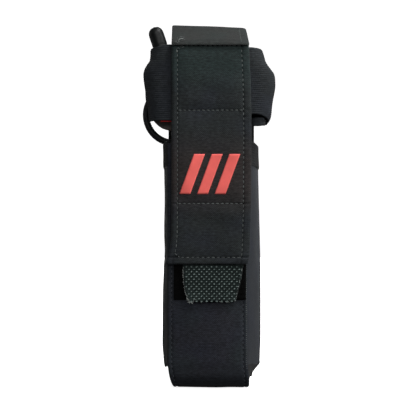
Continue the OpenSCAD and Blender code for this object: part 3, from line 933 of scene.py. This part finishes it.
def side_sheet(name, node, side, at, a, v, length, thick, cloth):
    """One sheet of a side wall on a grid of a and v, length millimetres along v."""
    a, v = np.meshgrid(a, v, indexing="ij")
    uv = stack(a * GUSSET_WIDE, v * length)
    sheet = shell(f"{name}_{side}", at(side, a, v), thick, uv, cloth, "pouch")
    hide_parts(f"{node}_{side}")
    return sheet


def make_side(side):
    # Painted light: the right side wall, facing the lamps, gets the lighter cloth, and the left one, in
    # shade, the darker back cloth.
    cloth = "gusset" if side == "right" else "back"
    wall = side_sheet("gusset_side", "gusset", side, gusset_at, np.linspace(0, 1, 28),
                      np.linspace(0, 1, 110), GUSSET_LEN, GUSSET_T, cloth)
    corner = side_sheet("lower_binding", "binding", side, corner_at, np.linspace(0, 1, 24),
                        np.linspace(0, 1, 22), 16, 1.3, "binding")
    over = np.concatenate([np.linspace(0, 0.44, 16), np.linspace(HEM_START, HEM_END, 7),
                           np.linspace(0.56, 1, 12)])
    hem = side_sheet("hem_tape", "hem", side, hem_at, np.linspace(0.02, 0.98, 86), over,
                     HEM_DROP, 0.9, "binding")


for side in SIDES:
    make_side(side)

# ---------------------------------------------------------------- back of the pouch


BACK_HALF, BACK_SEAM = 29.0, 26.3


def back_relief(x, z):
    return 0.35 * waves(x, z, 50, 61) - 0.2 * near(np.abs(x), BACK_SEAM, 0.9)


def make_back():
    low, high = node_box("back_panel")
    across = lines(-BACK_HALF, BACK_HALF, 1.8, (-BACK_SEAM, BACK_SEAM))
    u, v = np.meshgrid(across, lines(low[2], high[2], 1.8), indexing="ij")
    half = curve(v, [(low[2], 27.6), (-108.6, BACK_HALF), (high[2] - 4, BACK_HALF), (high[2], 27.0)])
    middle = stack(u / BACK_HALF * half, -1.1 + back_relief(u, v) * 0.5, v)
    cloth = shell("back_cloth", middle, 2.0, stack(u, v), "back", "pouch")
    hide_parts("back_panel")

    def rear(x, z):
        return np.array([x, -0.1 + 0.5 * float(back_relief(x, z)), z]), np.array([0.0, 1.0, 0.0])

    runs = [((-BACK_SEAM, -104), (-BACK_SEAM, 100)), ((BACK_SEAM, -104), (BACK_SEAM, 100)),
            ((-22, low[2] + 4), (22, low[2] + 4)), ((-26, high[2] - 4), (-HALF, high[2] - 4))]
    sew("back_stitches", stitch_places(rear, runs, 0.1), "pouch")


STRAP_HALF, STRAP_Y = 12.7, 5.7


def chevrons(x, s):
    """The herringbone ribs of the belt webbing, from -1 to 1."""
    return np.sin((s + 0.9 * np.abs(np.mod(x, 6.35) - 3.2)) * 2 * math.pi / 1.6)


def make_belt_strap():
    """Webbing strap that hangs from its sewn root and ends at the snap."""
    low, high = node_box("belt_strap")
    length = high[2] - low[2]
    along, path = straight_path(STRAP_Y, BELT_HINGE[2] + 0.6, low[2] + 0.6, 1.0)

    def relief(x, s):
        pinch = -0.25 * near(s, length - 8.6, 9) * near(x, 0, 9)
        return 0.088 * chevrons(x, s) + pinch + 0.2 * waves(x, s, 30, 71)

    def edge(s):
        return STRAP_HALF - 0.6 * smooth_step(s, length - 3, length)

    strip = Strip(along, path, STRAP_HALF, lambda s: -edge(s), edge, relief, -1.0)
    strap = strip.make("belt_strap_webbing", lines(-STRAP_HALF, STRAP_HALF, 0.55), lines(0, along[-1], 0.5),
                       1.5, "webbing", "belt_strap")
    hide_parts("belt_strap")
    side, top, end = 9.5, length - 26, length - 2.5
    runs = [((-side, top), (side, top)), ((-side, top), (-side, end)), ((side, top), (side, end)),
            ((-side, end), (side, end))]
    capsules("belt_strap_stitches", stitch_places(strip.at, runs, 0.85, 2.6, 1.9), 0.25, "thread",
             "belt_strap")


def make_belt_root():
    """The strap's upper end, sewn to the back with a bar of close stitches."""
    low, high = node_box("belt_anchor")
    corners = [(0.9, high[2]), (0.9, low[2] + 7), (STRAP_Y, low[2] + 1.6), (STRAP_Y, low[2])]
    along, path = fillet_path(corners, [1.5, 1.2], 0.6)
    root = Strip(along, path, STRAP_HALF, lambda s: 0 * s - STRAP_HALF, lambda s: 0 * s + STRAP_HALF,
                 lambda x, s: 0.09 * chevrons(x, s), -1.0)
    sewn = root.make("belt_strap_root", lines(-STRAP_HALF, STRAP_HALF, 0.6), lines(0, along[-1], 0.5),
                     1.5, "webbing", "pouch")
    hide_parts("belt_anchor")
    runs = [((-10, s), (10, s)) for s in (1.2, 2.6, 4.0, 5.4)]
    capsules("belt_root_bartack", stitch_places(root.at, runs, 0.85, 1.4, 1.3), 0.25, "thread",
             "pouch")


make_back()
make_belt_strap()
make_belt_root()

# ---------------------------------------------------------------- elastic loop

ELASTIC_T = 1.1
RIB = 1.3
EL_LEFT = [(56, -41.3), (66, -41.5), (71, -42.8), (77, -43.0), (83, -43.8), (88, -44.2), (91, -43.6),
           (93.6, -42.2), (96.3, -40.2), (100, -39.6), (108, -39.4)]
EL_RIGHT = [(56, 36.6), (59, 38.2), (62, 38.9), (70, 40.0), (80, 41.4), (85.6, 41.5), (88.3, 40.8),
            (91, 38.6), (93.6, 36.4), (96, 34.8), (101, 33.6), (108, 32.0)]
EL_LEFT_X, EL_RIGHT_X, EL_FRONT_Y, EL_REAR_Y = -40.0, 36.0, -41.9, -3.3


def elastic_plan():
    """Points round the loop in plan, from the back, by the left and the front, to the back again."""
    corners = [(4.0, EL_REAR_Y), (EL_LEFT_X, EL_REAR_Y), (EL_LEFT_X, EL_FRONT_Y), (EL_RIGHT_X, EL_FRONT_Y),
               (EL_RIGHT_X, EL_REAR_Y), (-6.0, EL_REAR_Y - 0.6)]
    return fillet_path(corners, [3.5, 9.5, 9.5, 3.5], 1.6)


def elastic_low(px, front, rear):
    """Height of the lower edge: it rides up over the shears' ring at the left and sags at the rear right."""
    low_front = curve(px, [(-45, 56.8), (20, 57.0), (25, 61.2), (30, 60.8), (34, 58.8), (37, 56.4),
                           (45, 56.2)])
    low_rear = curve(px, [(-45, 74.0), (-36, 72.0), (-28, 62.0), (-20, 60.5), (0, 60.0), (20, 57.0),
                          (26, 53.6), (32, 53.6), (35, 55.4), (38, 57.6), (45, 58.0)])
    low = low_front * front + (57.0 * (1 - rear) + low_rear * rear) * (1 - front)
    left_wall = smooth_step(-px, 39.2, 39.98)
    return np.maximum(low, 53.0 + 3.8 * (px < 0) + (15.0 + 2.5 * (1 - front)) * left_wall)


def make_elastic():
    along, plan = elastic_plan()
    px, py = plan[:, 0][:, None], plan[:, 1][:, None]
    front, rear = smooth_step(-py, 20, 38), 1 - smooth_step(-py, 5, 12)
    low = elastic_low(px, front, rear)
    high = 104.0 + 2.0 * near(px, -28, 8) * front - 4.5 * front * smooth_step(25 - np.abs(px), 0, 3)
    z = low + (high - low) * np.linspace(0, 1, 150)[None, :]
    x = np.where(px < 0, px * curve(z, EL_LEFT) / EL_LEFT_X, px * curve(z, EL_RIGHT) / EL_RIGHT_X)
    squeeze = smooth_step(np.abs(px), 20, 34)
    x = px * (1 - squeeze) + x * squeeze
    y = py + 2.0 * front * smooth_step(z, 94, 107) + 0.7 * front * smooth_step(np.abs(px), 24, 34)
    forward = smooth_step(px, 22.5, 26.5) * (1 - 0.55 * smooth_step(px, 32, 36))
    y = y - 34.5 * rear * forward * smooth_step(60.4 - z, 0, 2.0)
    ribs = 0.13 * np.sin(z * 2 * math.pi / RIB)
    creases = 0.25 * waves(along[:, None], z, 19, 81) * smooth_step(np.abs(px), 25, 32)
    creases = creases * (np.abs(px) >= 26)
    middle = stack(x, y, z)
    normal = unit(np.cross(np.gradient(middle, axis=0), np.gradient(middle, axis=1)))
    from_axis = stack(x, y + 22, 0.0)
    outward = np.sign(np.sum(normal * from_axis, axis=-1, keepdims=True))
    middle = middle + normal * outward * (ribs + creases)[..., None]
    uv = stack(along[:, None], z)
    loop = shell("elastic_band", middle, ELASTIC_T, uv, "elastic", "pouch")
    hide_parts("elastic_loop")


make_elastic()

# ---------------------------------------------------------------- tourniquet


def bevelled(name, outline, y_back, y_front, bevel, material, body):
    """A flat moulding from an outline in X and Z, with round edges."""
    count = len(outline)
    verts = [(x, y, z) for y in (y_back, y_front) for x, z in outline]
    faces = [tuple(range(count)), tuple(range(2 * count - 1, count - 1, -1))]
    faces += [(k, count + k, count + (k + 1) % count, (k + 1) % count) for k in range(count)]
    made = piece(name, verts, faces, material, body)
    modifier = made.modifiers.new("round", "BEVEL")
    modifier.width, modifier.segments, modifier.limit_method = bevel * MM, 4, "ANGLE"
    modifier.angle_limit = math.radians(40)
    return made


def rounded_outline(low, high, radii, steps=9):
    """Corners in turn: low x and z, high x low z, high x and z, low x high z."""
    centres = [(low[0], low[1], 1, 1, 180), (high[0], low[1], -1, 1, 270),
               (high[0], high[1], -1, -1, 0), (low[0], high[1], 1, -1, 90)]
    made = []
    for (x, z, sx, sz, start), r in zip(centres, radii):
        for k in range(steps):
            a = math.radians(start + 90 * k / (steps - 1))
            made.append((x + sx * r + r * math.cos(a), z + sz * r + r * math.sin(a)))
    return made


def join(name, objs, node, body):
    """Several meshes as one piece, their modifiers applied first."""
    graph = bpy.context.evaluated_depsgraph_get()
    made = bmesh.new()
    material = objs[0].data.materials[0]
    for obj in objs:
        evaluated = obj.evaluated_get(graph)
        made.from_mesh(evaluated.to_mesh())
        evaluated.to_mesh_clear()
    mesh = bpy.data.meshes.new(name)
    made.to_mesh(mesh)
    made.free()
    mesh.materials.append(material)
    mesh.polygons.foreach_set("use_smooth", [True] * len(mesh.polygons))
    for obj in objs:
        bpy.data.objects.remove(obj)
    whole = add_object(name, mesh)
    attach(whole, body)
    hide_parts(node)
    return whole


ROD_SHIFT = -1.2
CLIP_MID = 27.6
CLIP_LOW, CLIP_HIGH, CLIP_HALF = CLIP_MID - 22.2, CLIP_MID + 3.0, 22.3
PLATE_BACK, PLATE_FRONT = -26.9, -28.9
LIP_FRONT = node_box("windlass_clip")[0][1]


def clip_part(name, low, high, radii, steps, y_back, y_front, bevel):
    """A flat piece of the clip with rounded corners, given in the tourniquet's own leaning frame."""
    placed = lean([(x, 0.0, z) for x, z in rounded_outline(low, high, radii, steps)])
    outline = [(p[0], p[2]) for p in placed]
    return bevelled(name, outline, y_back, y_front, bevel, "clip", "tourniquet")


def make_clip():
    """A plate with two walls beside the rod, each with a lip over it."""
    parts = [clip_part("clip_base", (0.7 - CLIP_HALF, CLIP_LOW), (CLIP_HALF, CLIP_HIGH),
                       [15.0, 10.0, 10.0, 8.0], 9, PLATE_BACK, PLATE_FRONT, 0.9)]
    low, high = CLIP_MID - 18.0, CLIP_MID + 1.0
    for sign in (-1, 1):
        wall, lip = (sorted((sign * inner + ROD_SHIFT, sign * 9.0 + ROD_SHIFT)) for inner in (6.5, 3.5))
        parts.append(clip_part("clip_wall", (wall[0], low), (wall[1], high), [1.0] * 4, 4,
                               PLATE_FRONT + 0.3, LIP_FRONT, 0.4))
        parts.append(clip_part("clip_lip", (lip[0], low), (lip[1], high), [1.6] * 4, 4,
                               LIP_FRONT + 1.0, LIP_FRONT, 0.35))
    join("clip_moulding", parts, "windlass_clip", "tourniquet")


def make_rod():
    """Windlass rod: two ringed grips, a shallow groove beyond each, and domed ends."""
    half, r = 74.0, 4.95
    stations, radii = [], []
    for t in np.linspace(0, 1, 180):
        h = -half + 2 * half * t
        end = half - abs(h)
        dome = r * math.sqrt(1 - (1 - min(end, r) / r) ** 2)
        grip = 0.22 * (0.5 + 0.5 * math.cos(h * 2 * math.pi / 5.0)) if 12 < abs(h) < 58 else 0.0
        groove = 0.25 if 60 < abs(h) < 61.5 else 0.0
        stations.append((ROD_SHIFT, ROD_PIVOT[1], h))
        radii.append(max(0.15, dome - grip - groove))
    rod = tube("rod_moulding", lean(stations), radii, "rod", "windlass", sides=28)
    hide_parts("windlass_rod")


def ribbon(name, path, width, thick, material, node, place=None, wave=0.25):
    """Flat tape of one width along a path in Y and Z, or in another frame through place."""
    along, points = path
    x, s = np.meshgrid(lines(-width / 2, width / 2, 1.9), lines(0, along[-1], 1.3), indexing="ij")
    tangent = unit(np.gradient(points, along, axis=0))
    lift = wave * waves(x, s, 23, 91 + len(name))
    y = np.interp(s, along, points[:, 0]) + np.interp(s, along, tangent[:, 1]) * lift
    z = np.interp(s, along, points[:, 1]) - np.interp(s, along, tangent[:, 0]) * lift
    middle = stack(x, y, z)
    middle = middle if place is None else place(middle)
    tape = shell(name, middle, thick, stack(x, s), material, "tourniquet")
    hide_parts(node)


def make_folded_band():
    """The band, folded in layers behind the plate."""
    low, high = node_box("folded_band")
    layers, pitch, inset = 5, 2.3, 1.035
    corners = []
    for k in range(layers):
        y = high[1] - 1.0 - k * pitch
        ends = [(y, high[2] - inset), (y, low[2] + inset)]
        corners += ends if k % 2 == 0 else ends[::-1]
    path = fillet_path(corners, [pitch / 2 - 0.01] * (len(corners) - 2), 2.0)
    ribbon("band_folds", path, 38.0, 1.7, "band", "folded_band",
           wave=0.12)


def make_tapes():
    """The grey tape across the clip and the band's red tip."""
    y = middle_y("time_strap")
    tape = straight_path(y, CLIP_MID, CLIP_MID - 16.0, 1.0)
    ribbon("time_tape", tape, 33.0, 0.4, "grey_tape", "time_strap",
           place=lambda p: lean(p + np.array([3.5, 0, 0])), wave=0.03)
    low, high = node_box("red_tip")
    y = middle_y("red_tip")
    tape = straight_path(y, high[2], low[2] - 0.4, 1.0)
    ribbon("red_tape_tip", tape, 29.0, 0.6, "red_tape", "red_tip",
           place=lambda p: p + np.array([-18.3, 0, 0]), wave=0.04)


def make_inner_strap():
    """The inner strap: flat behind the clip's plate, and twisted where it reaches the rod."""
    post = lean([(0.0, y, 0.0) for y in np.linspace(PLATE_FRONT - 0.1, ROD_PIVOT[1] - 4.3, 14)])
    tube("inner_strap_twist", post, [2.1] * 14, "band", "tourniquet", 18, 0.5, 0.1)
    path = straight_path(PLATE_BACK + 0.3, 5.0, -44.0, 1.5)
    ribbon("inner_strap_tape", path, 20.0, 0.45, "band", "inner_strap",
           place=lean, wave=0.02)


make_clip()
make_rod()
make_folded_band()
make_tapes()
make_inner_strap()

# ---------------------------------------------------------------- shears

PIVOT = pivot("shears_open")
RING_BAND, RING_DEEP = 4.8, 3.9


def make_ring(name, centre, radius, body):
    """A finger ring, as a round bar bent to a closed circle in X and Z."""
    turns, sides, verts, faces = 96, 14, [], []
    for i in range(turns):
        a = 2 * math.pi * i / turns
        out = np.array([math.cos(a), 0, math.sin(a)])
        verts += circle(centre + out * (radius - RING_BAND / 2), out * RING_BAND / 2,
                        np.array([0, RING_DEEP, 0]), 1.0, sides)
        for k in range(sides):
            here, there, ahead = i * sides, (i + 1) % turns * sides, (k + 1) % sides
            faces.append((here + k, here + ahead, there + ahead, there + k))
    return piece(name, verts, faces, "handle", body)


def make_shank(name, start, end, body):
    """The bar from a ring down to the pivot. It gets thinner and moves to its blade's side."""
    steps, sides, verts = 30, 16, []
    for t in np.linspace(0, 1, steps):
        settled = smooth_step(t, 0, 0.3)
        centre = start + (end - start) * t
        centre[1] = start[1] + (end[1] - start[1]) * settled
        wide, deep = 6.8 - 3.2 * t, 3.7 * (1 - settled) + 1.85 * settled
        verts += circle(centre, np.array([wide, 0, 0]), np.array([0, deep, 0]), 1.0, sides)
    return piece(name, verts, tube_faces(0, steps, sides), "handle", body)


def make_handle(name, node, body, side, radius, extra, y_mid, shank):
    """Finger ring and shank, blended into one moulding. shank is its upper end from the ring's centre."""
    low, high = node_box(node)
    ring_x = low[0] + radius if side < 0 else high[0] - radius
    centre = np.array([ring_x, middle_y(node), high[2] - radius])
    ring = make_ring(f"{name}_ring", centre, radius + extra, body)
    start = centre + np.array([shank[0], 0, shank[1]])
    stem = make_shank(f"{name}_shank", start, np.array([PIVOT[0], y_mid, 13.6]), body)
    whole = join(name, [ring, stem], node, body)
    remesh = whole.modifiers.new("blend", "REMESH")
    remesh.mode, remesh.voxel_size, remesh.use_smooth_shade = "VOXEL", 0.5 * MM, True
    soften = whole.modifiers.new("soften", "SMOOTH")
    soften.factor, soften.iterations = 0.6, 6


make_handle("shears_grip", "shears_handle", "shears", -1, 21.0, 0.6, -11.2, (10.0, -16.4))
make_handle("shears_moving_grip", "shears_moving_handle", "shears_half", 1, 20.0, 0.0, -7.2,
            (-7.0, -16.4))

# ---------------------------------------------------------------- CAD pieces that stay

KEPT = {"stabilizer_plate": "plate", "band_buckle": "plate", "snap_stud": "snap", "snap_socket": "snap",
        "snap_cap": "snap", "shears_blade": "steel", "shears_moving_blade": "steel", "shears_screw": "steel"}
for node, material in KEPT.items():
    obj = frame["nodes"][node]
    obj.data.materials.clear()
    obj.data.materials.append(M[material])

# ---------------------------------------------------------------- stage, light and camera


def stage_material():
    n = Nodes("pale_paper")
    place = n.add("ShaderNodeTexCoord", out=3)
    result = n.mix(n.noise(place, 6.0, 2.0, 0.5), (0.86, 0.86, 0.86, 1), (0.9, 0.9, 0.9, 1))
    n.shader.inputs["Emission Color"].default_value = (1, 1, 1, 1)
    n.shader.inputs["Emission Strength"].default_value = 0.86
    return n.finish(result, 0.9)


def make_stage():
    """Round paper cove: a floor under the pouch that curves up to a wall all round it."""
    floor_z, flat, radius, top, sides = BASE_Z - 0.3, 1500.0, 700.0, 2600.0, 64
    profile = [(400.0, floor_z), (flat, floor_z)]
    for k in range(1, 17):
        a = math.pi / 2 * k / 16
        profile.append((flat + radius * math.sin(a), floor_z + radius * (1 - math.cos(a))))
    profile.append((flat + radius, top))
    spin = [(math.cos(2 * math.pi * k / sides), math.sin(2 * math.pi * k / sides)) for k in range(sides)]
    verts = [(r * c, r * s, z) for r, z in profile for c, s in spin] + [(0.0, 0.0, floor_z)]
    faces = [(len(verts) - 1, k, (k + 1) % sides) for k in range(sides)]
    for ring in range(len(profile) - 1):
        for k in range(sides):
            a, b = ring * sides + k, ring * sides + (k + 1) % sides
            faces.append((a, a + sides, b + sides, b))
    mesh = bpy.data.meshes.new("paper_cove")
    mesh.from_pydata([tuple(c * MM for c in v) for v in verts], [], faces)
    mesh.polygons.foreach_set("use_smooth", [True] * len(mesh.polygons))
    mesh.materials.append(stage_material())
    cove = add_object("paper_cove", mesh)
    cove.visible_glossy = False
    cove.visible_diffuse = False


def area_light(name, place, target, size, power, color=(1, 1, 1)):
    light = bpy.data.lights.new(name, "AREA")
    light.shape, light.size, light.size_y = "RECTANGLE", size[0], size[1]
    light.energy, light.color = power, color
    obj = add_object(name, light)
    obj.location = place
    obj.rotation_mode = "QUATERNION"
    obj.rotation_quaternion = (Vector(place) - Vector(target)).to_track_quat("Z", "Y")


def make_lights():
    world = bpy.data.worlds.new("soft_room")
    world.use_nodes = True
    world.node_tree.nodes["Background"].inputs["Color"].default_value = (1, 1, 1, 1)
    world.node_tree.nodes["Background"].inputs["Strength"].default_value = 0.07
    bpy.context.scene.world = world
    area_light("key_above_right", (0.55, -0.35, 1.0), (0, 0, 0.05), (0.5, 0.5), 13.0)
    area_light("side_right", (1.0, -0.30, 0.2), (0, 0, 0), (0.4, 0.7), 4.5)
    area_light("fill_front", (0.15, -1.4, 0.6), (0, 0, 0), (0.9, 0.9), 9.0)
    area_light("fill_rear", (0.06, 1.4, 0.2), (0, 0, 0), (0.9, 0.9), 14.0)
    area_light("fill_left", (-1.3, 0.35, 0.3), (0, 0, 0), (0.6, 0.9), 1.3)


def make_camera():
    """550 mm in front of the flap, level with the middle of the pouch and a little to its left."""
    camera = bpy.data.cameras.new("camera")
    camera.sensor_width, camera.lens = 36.0, 74.0
    camera.clip_start, camera.clip_end = 0.01, 20.0
    obj = add_object("camera", camera)
    obj.location = (-0.00225, -0.595, 0.0)
    obj.rotation_euler = (math.pi / 2, 0, 0)
    bpy.context.scene.camera = obj


make_stage()
make_lights()
make_camera()
bpy.context.scene.view_settings.view_transform = "Standard"
